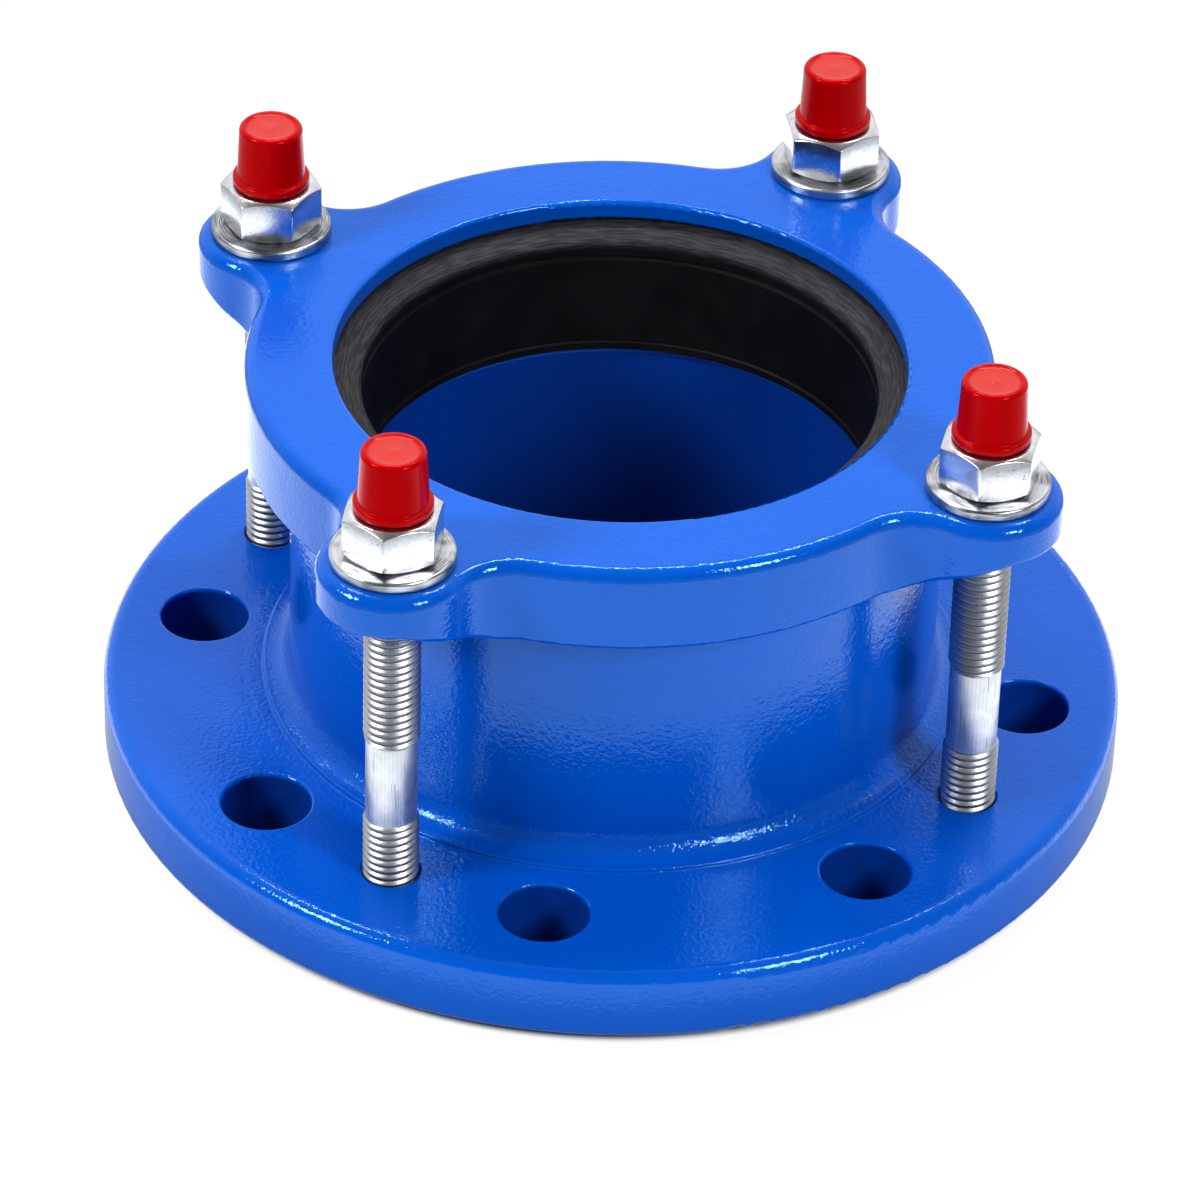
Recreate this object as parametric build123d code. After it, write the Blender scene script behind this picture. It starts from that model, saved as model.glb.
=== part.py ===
from build123d import *
from math import cos, radians, sin, sqrt, tan
import os

# Flange adaptor: it joins the plain end of a DN 100 pipe to a flange.
# The cast body has a drilled flange below and a bell above. A wedge gasket stands in the bell's
# cone. A gland ring slides over the bell, and four studs with nuts draw it down on the gasket,
# which then grips the pipe.
# Millimetres. The origin is the centre of the flange's raised face, and +Z runs to the pipe.

# Flange
BOLT_COUNT = 8
BOLT_HOLE_D = 19.0
BOLT_LAND = 4.944
BOLT_START = 22.5
RIM_MARGIN = 20.0
RIM_THICKNESS = 16.0
RIM_TOP_ROUND = 3.0
RIM_FOOT_ROUND = 1.5
RAISED_FACE_D = 156.0
RAISED_FACE_HEIGHT = 3.0
RAISED_FACE_ROUND = 0.6
HOLE_ROUND = 0.7

# Neck and bell
BODY_HEIGHT = 82.0
ROOT_FILLET = 5.0
STEP_LAND = 0.8
STEP_HEIGHT = 1.0
STEP_ROUND = 0.5
STEP_BLEND = 0.45
BELL_WALL = 3.75
BELL_ROUND = 1.0
SEAT_LEDGE = 1.5
CONE_DEPTH = 18.8
CONE_ANGLE = 23.0

# Pipe and gasket
PIPE_D = 108.0
PIPE_CLEARANCE = 0.6
GASKET_FOOT = 3.1
GASKET_CLEARANCE = 0.3
HEAD_HEIGHT = 10.8
HEAD_CLEARANCE = 0.8
HEAD_ROUND = 1.0
BEAD_INSET = 3.6
BEAD_DROP = 0.6
BEAD_ROUND = 1.4
LIP_GROOVE_DROP = 5.6
LIP_GROOVE_WIDTH = 1.2
LIP_GROOVE_DEPTH = 0.8
FOOT_GROOVE_RISE = 2.3
FOOT_GROOVE_WIDTH = 0.7
FOOT_GROOVE_DEPTH = 0.4

# Gland ring
GLAND_OVERLAP = 3.0
GLAND_RUN = 0.7
GLAND_WALL = 8.8
GLAND_TOP_ROUND = 2.7
GLAND_FOOT_ROUND = 1.2
LIP_THICKNESS = 4.8
LIP_SETBACK = 5.9
LIP_ROUND = 1.0
POCKET_ROUND = 0.6
POCKET_CHAMFER = 1.0
LUG_HOLE_CLEARANCE = 1.05
LUG_WALL = 8.8
LUG_BLEND_R = 13.0
LUG_TIP_THICKNESS = 9.4
LUG_SLOPE_ANGLE = 25.0
LUG_SLOPE_BLEND = 6.0

# Studs, washers and nuts
STUD_LAND = 6.694
STUD_COUNT = 4
STUD_START = 45.0
STUD_D = 11.9
THREAD_DEPTH = 0.55
STUD_INSET = 1.5
STUD_PROJECTION = 12.4
STUD_END_CHAMFER = 1.0
LOWER_THREAD_LENGTH = 14.7
SHANK_LENGTH = 19.8
THREAD_CLEARANCE = 0.05
HOLE_CHAMFER = 0.5
WASHER_MARGIN = 1.98
WASHER_CLEARANCE = 0.55
WASHER_THICKNESS = 2.5
WASHER_ROUND = 0.6
NUT_WALL = 3.55
NUT_HEIGHT = 10.0
NUT_FACE_INSET = 0.5
NUT_CHAMFER_ANGLE = 30.0
NUT_TURNS = (24.7, 43.2, 7.2, 2.7)

# Caps on the stud ends
CAP_CLEARANCE = 0.15
CAP_GAP = 0.4
CAP_TOP_WALL = 1.6
CAP_BASE_WALL = 1.2
CAP_CROWN_WALL = 0.7
CAP_RIM_WIDTH = 0.95
CAP_RIM_HEIGHT = 1.8
CAP_RIM_ROUND = 0.6
CAP_RIM_BLEND = 0.3
CAP_EDGE_ROUND = 0.9
CAP_DISH_MARGIN = 1.1
CAP_DISH_RUN = 1.8
CAP_DISH_DEPTH = 0.35
CAP_DISH_ROUND = 2.0
CAP_NUB_D = 1.4
CAP_NUB_HEIGHT = 0.25

# Radii and heights that follow from the sizes above
flange_top = RAISED_FACE_HEIGHT + RIM_THICKNESS
step_top = flange_top + STEP_HEIGHT
gasket_r = PIPE_D / 2 + PIPE_CLEARANCE
cone_slope = tan(radians(CONE_ANGLE))
cone_gap = GASKET_CLEARANCE / cos(radians(CONE_ANGLE))
seat_r = gasket_r + GASKET_FOOT + cone_gap
seat_z = BODY_HEIGHT - CONE_DEPTH
mouth_r = seat_r + CONE_DEPTH * cone_slope
body_bore_r = seat_r - SEAT_LEDGE
neck_r = mouth_r + BELL_WALL
step_r = neck_r + ROOT_FILLET + STEP_LAND
bolt_circle_r = step_r + BOLT_LAND + BOLT_HOLE_D / 2
rim_r = bolt_circle_r + RIM_MARGIN
stud_r = STUD_D / 2
shank_r = stud_r - THREAD_DEPTH
stud_hole_r = stud_r + THREAD_CLEARANCE
stud_circle_r = step_r + STUD_LAND + stud_hole_r
head_foot = BODY_HEIGHT + GASKET_CLEARANCE
head_top = head_foot + HEAD_HEIGHT
pocket_r = neck_r + GLAND_RUN
head_r = pocket_r - HEAD_CLEARANCE
lip_r = gasket_r + LIP_SETBACK
lip_foot = head_top + GASKET_CLEARANCE
gland_foot = BODY_HEIGHT - GLAND_OVERLAP
gland_top = lip_foot + LIP_THICKNESS
gland_r = pocket_r + GLAND_WALL
lug_hole_r = stud_r + LUG_HOLE_CLEARANCE
lug_r = lug_hole_r + LUG_WALL
nut_flat_r = stud_r + NUT_WALL
nut_corner_r = nut_flat_r / cos(radians(30))
washer_hole_r = stud_r + WASHER_CLEARANCE
washer_r = nut_corner_r + WASHER_MARGIN
stud_foot = RAISED_FACE_HEIGHT + STUD_INSET
nut_foot = gland_top + WASHER_THICKNESS
nut_top = nut_foot + NUT_HEIGHT
stud_top = nut_top + STUD_PROJECTION
cap_foot = nut_top + CAP_GAP
cap_top = stud_top + CAP_TOP_WALL
bolt_angles = [BOLT_START + 360 * k / BOLT_COUNT for k in range(BOLT_COUNT)]
stud_angles = [STUD_START + 360 * k / STUD_COUNT for k in range(STUD_COUNT)]

# How far a cutting tool runs past a face, and how near two radii count as equal
OVERCUT = 1.0
MATCH = 0.001


def turned(corners):
    """Solid turned about Z from the corners of its section: radius, height, corner round."""
    points = [(radius, height) for radius, height, _ in corners]
    rounds = [corner_round for _, _, corner_round in corners]
    section = Plane.XZ * FilletPolyline(*points, radius=rounds, close=True)
    return revolve(make_face(section.edges()), Axis.Z)


def on_circle(radius, angle):
    """Place on a circle about Z."""
    return Pos(radius * cos(radians(angle)), radius * sin(radians(angle)), 0)


def holes(circle_r, angles, hole_r, low, high):
    """Round tools for the holes of one circle, from low to high."""
    tool = extrude(Plane.XY.offset(low) * Circle(hole_r), high - low)
    return [on_circle(circle_r, angle) * tool for angle in angles]


def round_edges(solid, radius):
    """Full circles of one radius among a solid's edges."""
    circles = [edge for edge in solid.edges().filter_by(GeomType.CIRCLE) if edge.is_closed]
    return [edge for edge in circles if abs(edge.radius - radius) < MATCH]


def make_flange_body():
    """Casting with the flange, the neck and the bell."""
    body = turned([
        (body_bore_r, 0, RAISED_FACE_ROUND),
        (RAISED_FACE_D / 2, 0, RAISED_FACE_ROUND),
        (RAISED_FACE_D / 2, RAISED_FACE_HEIGHT, 0),
        (rim_r, RAISED_FACE_HEIGHT, RIM_FOOT_ROUND),
        (rim_r, flange_top, RIM_TOP_ROUND),
        (step_r, flange_top, STEP_BLEND),
        (step_r, step_top, STEP_ROUND),
        (neck_r, step_top, ROOT_FILLET),
        (neck_r, BODY_HEIGHT, BELL_ROUND),
        (mouth_r, BODY_HEIGHT, BELL_ROUND),
        (seat_r, seat_z, 0),
        (body_bore_r, seat_z, 0),
    ])
    low = RAISED_FACE_HEIGHT - OVERCUT
    high = flange_top + OVERCUT
    body -= holes(bolt_circle_r, bolt_angles, BOLT_HOLE_D / 2, low, high)
    body = fillet(round_edges(body, BOLT_HOLE_D / 2), HOLE_ROUND)
    body -= holes(stud_circle_r, stud_angles, stud_hole_r, low, high)
    return chamfer(round_edges(body, stud_hole_r), HOLE_CHAMFER)


def lug_outline():
    """One lug on +X, its two blends and the rim up to the next lug, as tangent arcs."""
    blend_ring = gland_r + LUG_BLEND_R
    blend_lug = lug_r + LUG_BLEND_R
    x = (blend_ring ** 2 - blend_lug ** 2 + stud_circle_r ** 2) / (2 * stud_circle_r)
    y = sqrt(blend_ring ** 2 - x ** 2)
    centre = Vector(x, y)
    lug_centre = Vector(stud_circle_r, 0)
    on_rim = centre * (gland_r / blend_ring)
    on_lug = lug_centre + (centre - lug_centre) * (lug_r / blend_lug)
    inward = ((on_rim - centre) + (on_lug - centre)).normalized()
    on_blend = centre + inward * LUG_BLEND_R
    tip = Vector(stud_circle_r + lug_r, 0)
    pitch = 360 / STUD_COUNT
    rim_middle = Vector(gland_r, 0).rotate(Axis.Z, pitch / 2)
    next_on_rim = Vector(on_rim.X, -on_rim.Y).rotate(Axis.Z, pitch)

    def mirrored(point):
        return Vector(point.X, -point.Y)

    return [
        ThreePointArc(mirrored(on_rim), mirrored(on_blend), mirrored(on_lug)),
        ThreePointArc(mirrored(on_lug), tip, on_lug),
        ThreePointArc(on_lug, on_blend, on_rim),
        ThreePointArc(on_rim, rim_middle, next_on_rim),
    ]


def make_underside_tool():
    """What lies under the gland: flat below the ring, rising outwards to the thin lug tips."""
    tip_z = gland_top - LUG_TIP_THICKNESS
    slope_run = (tip_z - gland_foot) / tan(radians(LUG_SLOPE_ANGLE))
    low = gland_foot - 2 * OVERCUT
    outside = stud_circle_r + lug_r + slope_run
    return turned([
        (0, low, 0),
        (outside, low, 0),
        (outside, tip_z, 0),
        (gland_r + slope_run, tip_z, LUG_SLOPE_BLEND),
        (gland_r, gland_foot, LUG_SLOPE_BLEND),
        (0, gland_foot, 0),
    ])


def make_gland_ring():
    """Casting with the lip over the gasket, the pocket over the bell and the bolt lugs."""
    outline = [Rot(0, 0, angle) * arc for angle in stud_angles for arc in lug_outline()]
    blank_foot = gland_foot - OVERCUT
    blank = Plane.XY.offset(blank_foot) * make_face(outline)
    gland = extrude(blank, gland_top - blank_foot) - make_underside_tool()
    walls = gland.faces().filter_by(GeomType.CYLINDER)
    wall_edges = [edge for wall in walls for edge in wall.edges()]
    foot_edges = [
        edge for edge in wall_edges
        if edge.geom_type != GeomType.LINE and edge.center().Z < gland_top - MATCH
    ]
    gland = fillet(foot_edges, GLAND_FOOT_ROUND)
    gland = fillet(gland.edges().group_by(Axis.Z)[-1], GLAND_TOP_ROUND)
    gland -= turned([
        (0, gland_foot - OVERCUT, 0),
        (pocket_r + POCKET_CHAMFER + OVERCUT, gland_foot - OVERCUT, 0),
        (pocket_r, gland_foot + POCKET_CHAMFER, 0),
        (pocket_r, lip_foot, POCKET_ROUND),
        (lip_r, lip_foot, 0),
        (lip_r, gland_top + OVERCUT, 0),
        (0, gland_top + OVERCUT, 0),
    ])
    gland = fillet(round_edges(gland, lip_r), LIP_ROUND)
    low = gland_foot - OVERCUT
    high = gland_top + OVERCUT
    gland -= holes(stud_circle_r, stud_angles, lug_hole_r, low, high)
    return chamfer(round_edges(gland, lug_hole_r), HOLE_CHAMFER)


def make_gasket():
    """Moulded ring: foot and wedge in the cone, head under the lip, bead inside the bore."""
    foot_z = seat_z + GASKET_CLEARANCE
    foot_r = seat_r + GASKET_CLEARANCE * cone_slope - cone_gap
    wedge_r = foot_r + (head_foot - foot_z) * cone_slope
    bead_z = head_top - BEAD_DROP
    lip_groove = head_top - LIP_GROOVE_DROP
    foot_groove = foot_z + FOOT_GROOVE_RISE
    return turned([
        (gasket_r, foot_z, FOOT_GROOVE_DEPTH),
        (foot_r, foot_z, FOOT_GROOVE_DEPTH),
        (wedge_r, head_foot, 0),
        (head_r, head_foot, HEAD_ROUND),
        (head_r, head_top, HEAD_ROUND),
        (lip_r, head_top, 0),
        (lip_r - BEAD_INSET, bead_z, 0),
        (gasket_r, bead_z - BEAD_DROP, BEAD_ROUND),
        (gasket_r, lip_groove + LIP_GROOVE_WIDTH / 2, 0),
        (gasket_r + LIP_GROOVE_DEPTH, lip_groove, 0),
        (gasket_r, lip_groove - LIP_GROOVE_WIDTH / 2, 0),
        (gasket_r, foot_groove + FOOT_GROOVE_WIDTH / 2, 0),
        (gasket_r + FOOT_GROOVE_DEPTH, foot_groove, 0),
        (gasket_r, foot_groove - FOOT_GROOVE_WIDTH / 2, 0),
    ])


def make_stud():
    """Double-ended stud with a plain shank between its threads."""
    lower_end = flange_top + LOWER_THREAD_LENGTH
    upper_end = lower_end + SHANK_LENGTH
    end_r = stud_r - STUD_END_CHAMFER
    return turned([
        (0, stud_foot, 0),
        (end_r, stud_foot, 0),
        (stud_r, stud_foot + STUD_END_CHAMFER, 0),
        (stud_r, lower_end - THREAD_DEPTH, 0),
        (shank_r, lower_end, 0),
        (shank_r, upper_end, 0),
        (stud_r, upper_end + THREAD_DEPTH, 0),
        (stud_r, stud_top - STUD_END_CHAMFER, 0),
        (end_r, stud_top, 0),
        (0, stud_top, 0),
    ])


def make_washer():
    """Flat washer with softened edges, seated on a lug."""
    return turned([
        (washer_hole_r, gland_top, 0),
        (washer_r, gland_top, WASHER_ROUND),
        (washer_r, nut_foot, WASHER_ROUND),
        (washer_hole_r, nut_foot, 0),
    ])


def make_nut(turn):
    """Hexagon nut with both faces chamfered, turned about its own axis."""
    face_r = nut_flat_r - NUT_FACE_INSET
    outer_r = nut_corner_r + OVERCUT
    rise = (outer_r - face_r) * tan(radians(NUT_CHAMFER_ANGLE))
    barrel = turned([
        (stud_hole_r, nut_foot, 0),
        (face_r, nut_foot, 0),
        (outer_r, nut_foot + rise, 0),
        (outer_r, nut_top - rise, 0),
        (face_r, nut_top, 0),
        (stud_hole_r, nut_top, 0),
    ])
    hexagon = Plane.XY.offset(nut_foot) * RegularPolygon(nut_corner_r, 6)
    nut = barrel & (Rot(0, 0, turn) * extrude(hexagon, NUT_HEIGHT))
    return chamfer(round_edges(nut, stud_hole_r), HOLE_CHAMFER)


def make_cap():
    """Moulded push-on cap with a rim at its mouth and a dished crown."""
    bore_r = stud_r + CAP_CLEARANCE
    base_r = bore_r + CAP_BASE_WALL
    crown_r = bore_r + CAP_CROWN_WALL
    cap_rim_r = base_r + CAP_RIM_WIDTH
    dish_r = crown_r - CAP_DISH_MARGIN
    dish_z = cap_top - CAP_DISH_DEPTH
    nub_r = CAP_NUB_D / 2
    return turned([
        (bore_r, cap_foot, 0),
        (cap_rim_r, cap_foot, 0),
        (cap_rim_r, cap_foot + CAP_RIM_HEIGHT, CAP_RIM_ROUND),
        (base_r, cap_foot + CAP_RIM_HEIGHT, CAP_RIM_BLEND),
        (crown_r, cap_top, CAP_EDGE_ROUND),
        (dish_r, cap_top, CAP_DISH_ROUND),
        (dish_r - CAP_DISH_RUN, dish_z, CAP_DISH_ROUND),
        (nub_r, dish_z, 0),
        (nub_r, dish_z + CAP_NUB_HEIGHT, 0),
        (0, dish_z + CAP_NUB_HEIGHT, 0),
        (0, stud_top, 0),
        (bore_r, stud_top, 0),
    ])


def main():
    """Build every piece in its place and write one STEP file each."""
    nodes = {
        "flange_body": make_flange_body(),
        "gland_ring": make_gland_ring(),
        "gasket": make_gasket(),
    }
    for index, angle in enumerate(stud_angles):
        place = on_circle(stud_circle_r, angle)
        number = index + 1
        nodes[f"stud_{number}"] = place * make_stud()
        nodes[f"washer_{number}"] = place * make_washer()
        nodes[f"nut_{number}"] = place * make_nut(NUT_TURNS[index % len(NUT_TURNS)])
        nodes[f"cap_{number}"] = place * make_cap()
    os.makedirs("parts", exist_ok=True)
    for name, solid in nodes.items():
        export_step(solid, f"parts/{name}.step")
        print(name, round(solid.volume, 1))


main()
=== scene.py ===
"""Looks of the flange adaptor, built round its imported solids.

Blue coated castings, a rubber gasket, zinc-plated studs, nuts and washers, and red caps stand on
a pale studio floor. Lengths are metres in the part's own frame: +Z is up, and the origin is the
centre of the flange's raised face.
"""

import logging
from collections.abc import Sequence
from dataclasses import dataclass
from enum import Enum
from math import cos, hypot, pi, radians, sin, tan

import bpy
from mathutils import Matrix, Vector


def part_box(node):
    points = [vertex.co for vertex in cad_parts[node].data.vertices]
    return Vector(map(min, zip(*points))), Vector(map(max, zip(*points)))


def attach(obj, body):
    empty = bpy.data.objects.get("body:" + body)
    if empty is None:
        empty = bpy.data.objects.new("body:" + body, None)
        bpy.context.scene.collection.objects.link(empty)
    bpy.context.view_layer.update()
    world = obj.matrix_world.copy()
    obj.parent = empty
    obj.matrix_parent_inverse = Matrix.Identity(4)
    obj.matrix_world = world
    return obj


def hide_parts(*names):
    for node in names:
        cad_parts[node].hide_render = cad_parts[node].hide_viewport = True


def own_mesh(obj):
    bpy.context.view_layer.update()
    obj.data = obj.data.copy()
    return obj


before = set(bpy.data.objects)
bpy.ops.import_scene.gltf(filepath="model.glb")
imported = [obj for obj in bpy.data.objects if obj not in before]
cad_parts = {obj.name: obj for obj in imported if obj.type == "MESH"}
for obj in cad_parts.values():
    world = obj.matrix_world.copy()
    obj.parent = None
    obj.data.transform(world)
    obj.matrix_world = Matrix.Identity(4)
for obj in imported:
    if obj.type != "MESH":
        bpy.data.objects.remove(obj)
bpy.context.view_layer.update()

log = logging.getLogger("flange_adaptor")

MM = 0.001
FULL_TURN = 2 * pi
WELD = 1e-7
UP = (0.0, 0.0, 1.0)

Colour = tuple[float, float, float]
Point = tuple[float, float]
Piece = bpy.types.Object


class Slot(Enum):
    """Material slots of the record."""

    RUBBER = "rubber"
    ZINC = "zinc_steel"
    CAP = "red_plastic"


class Wire:
    """A shader socket that takes part in plain arithmetic."""

    def __init__(self, graph: "NodeGraph", socket: bpy.types.NodeSocket) -> None:
        """Hold one output socket.

        Args:
            graph: The graph that the socket belongs to.
            socket: The output socket.
        """
        self.graph = graph
        self.socket = socket

    def _math(self, operation: str, first: "Value", second: "Value" = 0.0) -> "Wire":
        """One Math node.

        Args:
            operation: Name of the node's operation.
            first: First input.
            second: Second input.

        Returns:
            The node's result.
        """
        inputs = {"Value": first, "Value_001": second}
        return self.graph.node("ShaderNodeMath", inputs, operation=operation)["Value"]

    def __add__(self, other: "Value") -> "Wire":
        """Sum."""
        return self._math("ADD", self, other)

    def __sub__(self, other: "Value") -> "Wire":
        """Difference."""
        return self._math("SUBTRACT", self, other)

    def __mul__(self, other: "Value") -> "Wire":
        """Product."""
        return self._math("MULTIPLY", self, other)

    def root(self) -> "Wire":
        """Square root."""
        return self._math("SQRT", self)

    def sine(self) -> "Wire":
        """Sine of an angle in radians."""
        return self._math("SINE", self)

    def cosine(self) -> "Wire":
        """Cosine of an angle in radians."""
        return self._math("COSINE", self)

    def bearing(self, other: "Value") -> "Wire":
        """Angle whose tangent is this value over the other."""
        return self._math("ARCTAN2", self, other)

    def largest(self, other: "Value") -> "Wire":
        """The larger of two values."""
        return self._math("MAXIMUM", self, other)

    def wrap(self, high: float, low: float) -> "Wire":
        """Value folded into the span from low to high."""
        inputs = {"Value": self, "Value_001": high, "Value_002": low}
        return self.graph.node("ShaderNodeMath", inputs, operation="WRAP")["Value"]

    def fade(self, low: float, high: float) -> "Wire":
        """Smooth step of a value.

        Args:
            low: Value at which the step is 0.
            high: Value at which it is 1; the step falls where low is above high.

        Returns:
            The step, from 0 to 1.
        """
        inputs = {"Value": self, "From Min": low, "From Max": high}
        step = self.graph.node(
            "ShaderNodeMapRange", inputs, interpolation_type="SMOOTHSTEP", clamp=True
        )
        return step["Result"]


Value = Wire | float | Sequence[float]


@dataclass(frozen=True)
class Ring:
    """Places that repeat round the part's axis, the first at a start angle in degrees."""

    count: int
    radius: float
    start: float


BOLT_HOLES = Ring(count=8, radius=90.0 * MM, start=22.5)
STUD_PLACES = Ring(count=4, radius=88.25 * MM, start=45.0)


@dataclass
class Around:
    """Place as it is seen from the axis of the nearest stud or hole."""

    reach: Wire
    bearing: Wire
    height: Wire


class NodeGraph:
    """Nodes of one material or world."""

    def __init__(self, tree: bpy.types.NodeTree) -> None:
        """Start from an empty node tree.

        Args:
            tree: The node tree, which is cleared.
        """
        self.tree = tree
        self.tree.nodes.clear()

    def node(self, kind: str, sockets: dict[str, Value], **settings: object) -> dict[str, Wire]:
        """Add a node.

        Args:
            kind: Type of the node.
            sockets: A value or a link for each named input.
            **settings: Its own settings.

        Returns:
            The node's outputs by identifier.
        """
        made = self.tree.nodes.new(kind)
        for name, value in settings.items():
            setattr(made, name, value)
        inputs = {socket.identifier: socket for socket in made.inputs}
        for name, value in sockets.items():
            self._feed(inputs[name], value)
        return {socket.identifier: Wire(self, socket) for socket in made.outputs}

    def _feed(self, socket: bpy.types.NodeSocket, value: Value) -> None:
        """Link a wire into an input, or set its constant.

        Args:
            socket: The input.
            value: The wire, number, vector or colour that it gets.
        """
        if isinstance(value, Wire):
            self.tree.links.new(value.socket, socket)
        elif socket.type == "RGBA":
            socket.default_value = (*value, 1.0)
        else:
            socket.default_value = value

    def place(self) -> Wire:
        """Place in the part's frame."""
        return self.node("ShaderNodeTexCoord", {})["Object"]

    def split(self, vector: Wire) -> tuple[Wire, Wire, Wire]:
        """The three numbers of a vector."""
        parts = self.node("ShaderNodeSeparateXYZ", {"Vector": vector})
        return parts["X"], parts["Y"], parts["Z"]

    def join(self, x: Value, y: Value, z: Value) -> Wire:
        """A vector from three numbers."""
        return self.node("ShaderNodeCombineXYZ", {"X": x, "Y": y, "Z": z})["Vector"]

    def polar(self) -> tuple[Wire, Wire]:
        """Distance from the part's axis, and height."""
        x, y, z = self.split(self.place())
        return (x * x + y * y).root(), z

    def around(self, ring: Ring) -> Around:
        """Place from the nearest of a ring's axes.

        Args:
            ring: The studs or holes.

        Returns:
            Distance, bearing and height from that axis.
        """
        x, y, z = self.split(self.place())
        radius = (x * x + y * y).root()
        half = pi / ring.count
        turn = (y.bearing(x) - radians(ring.start)).wrap(half, -half)
        along, aside = radius * turn.cosine() - ring.radius, radius * turn.sine()
        return Around((along * along + aside * aside).root(), aside.bearing(along), z)

    def grain(self, where: Wire, size: float, detail: float = 1.0) -> Wire:
        """Soft random pattern from 0 to 1.

        Args:
            where: Place to read it at.
            size: Size of one grain, in the unit of the place.
            detail: How many finer layers it has.

        Returns:
            The pattern.
        """
        inputs = {"Vector": where, "Scale": 1 / size, "Detail": detail}
        return self.node("ShaderNodeTexNoise", inputs)["Fac"]

    def relief(self, height: Wire) -> Wire:
        """Normal of a surface whose height varies by the given metres."""
        inputs = {"Height": height, "Strength": 1.0, "Distance": 1.0}
        return self.node("ShaderNodeBump", inputs)["Normal"]

    def blend(self, share: Wire, first: Value, second: Value) -> Wire:
        """Mix of two colours."""
        inputs = {"Factor_Float": share, "A_Color": first, "B_Color": second}
        return self.node("ShaderNodeMix", inputs, data_type="RGBA")["Result_Color"]

    def principled(self, **sockets: Value) -> Wire:
        """A surface shader; an underscore in a socket's name stands for a space."""
        named = {name.replace("_", " "): value for name, value in sockets.items()}
        return self.node("ShaderNodeBsdfPrincipled", named)["BSDF"]

    def layered(self, share: Wire, first: Wire, second: Wire) -> Wire:
        """Two shaders, the second by the given share."""
        inputs = {"Fac": share, "Shader": first, "Shader_001": second}
        return self.node("ShaderNodeMixShader", inputs)["Shader"]


@dataclass(frozen=True)
class Finish:
    """A finish of the part, which makes a material of its own."""

    name: str

    def _surface(self, graph: NodeGraph) -> Wire:
        """The material's shader."""
        raise NotImplementedError

    def material(self) -> bpy.types.Material:
        """Make the material.

        Returns:
            The finish as a material.
        """
        made = bpy.data.materials.new(self.name)
        made.use_nodes = True
        graph = NodeGraph(made.node_tree)
        graph.node("ShaderNodeOutputMaterial", {"Surface": self._surface(graph)})
        return made


@dataclass(frozen=True)
class BlueCoating(Finish):
    """Thick glossy coating with an orange peel outside, and a thin dull one in bore and holes
    whose darker colour is painted shade.
    """

    name: str = "blue_coating"
    pigment: Colour = (0.0, 0.096, 0.51)
    thin_pigment: Colour = (0.0, 0.086, 0.47)
    # Painted shade: the darker colour of the bore and the bolt holes.
    shaded_inner_pigment: Colour = (0.0, 0.044, 0.30)
    shine: Colour = (0.40, 0.72, 1.0)
    index: float = 1.54
    inner_level: float = 0.1
    cloud_size: float = 30 * MM
    swell_size: float = 9 * MM
    swell_height: float = 0.08 * MM
    peel_size: float = 1.05 * MM
    peel_detail: float = 2.5
    peel_height: float = 0.105 * MM
    speck_size: float = 0.45 * MM
    speck_height: float = 0.014 * MM
    root_r: float = 79.0 * MM
    root_side: float = 1.0 * MM
    root_top: float = 25.0 * MM
    root_rise: float = 2.0 * MM
    gloss: float = 0.01
    gloss_spread: float = 0.02
    inner_gloss: float = 0.55
    bore_r: float = 60.2 * MM
    bore_top: float = 62.0 * MM
    hole_r: float = 9.65 * MM
    hole_top: float = 18.2 * MM
    edge: float = 0.3 * MM

    def _root(self, graph: NodeGraph) -> Wire:
        """Where the skin is rough: the fillet at the neck's root.

        Args:
            graph: The coating's graph.

        Returns:
            Share of the rough skin.
        """
        radius, height = graph.polar()
        low = height.fade(self.root_top + self.root_rise, self.root_top - self.root_rise)
        return low * radius.fade(self.root_r + self.root_side, self.root_r - self.root_side)

    def _inside(self, graph: NodeGraph) -> Wire:
        """Where the coat is dull and its colour darkened as painted shade: the bore and the bolt
        holes.

        Args:
            graph: The coating's graph.

        Returns:
            Share of the dull inner coat with its painted shade.
        """
        radius, height = graph.polar()
        in_bore = radius.fade(self.bore_r + self.edge, self.bore_r)
        under_seat = height.fade(self.bore_top, self.bore_top - self.edge)
        near = graph.around(BOLT_HOLES).reach
        in_hole = near.fade(self.hole_r + self.edge, self.hole_r)
        under_face = height.fade(self.hole_top, self.hole_top - self.edge)
        return (in_bore * under_seat).largest(in_hole * under_face)

    def _surface(self, graph: NodeGraph) -> Wire:
        """The material's shader.

        Args:
            graph: The empty graph.

        Returns:
            The shader.
        """
        place = graph.place()
        cloud = graph.grain(place, self.cloud_size)
        fine = (
            graph.grain(place, self.peel_size, self.peel_detail) * self.peel_height
            + graph.grain(place, self.speck_size) * self.speck_height
        )
        swell = graph.grain(place, self.swell_size) * self.swell_height
        height = swell + fine * (self._root(graph) + 1.0)
        normal = graph.relief(height)
        outer = graph.principled(
            Base_Color=graph.blend(cloud, self.thin_pigment, self.pigment),
            Roughness=cloud * self.gloss_spread + self.gloss,
            Normal=normal,
            Specular_Tint=self.shine,
            IOR=self.index,
        )
        # Dull inner coat; its darker pigment is painted shade in the bore and bolt holes.
        inner = graph.principled(
            Base_Color=self.shaded_inner_pigment,
            Roughness=self.inner_gloss,
            Normal=normal,
            Specular_IOR_Level=self.inner_level,
        )
        return graph.layered(self._inside(graph), outer, inner)


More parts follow.
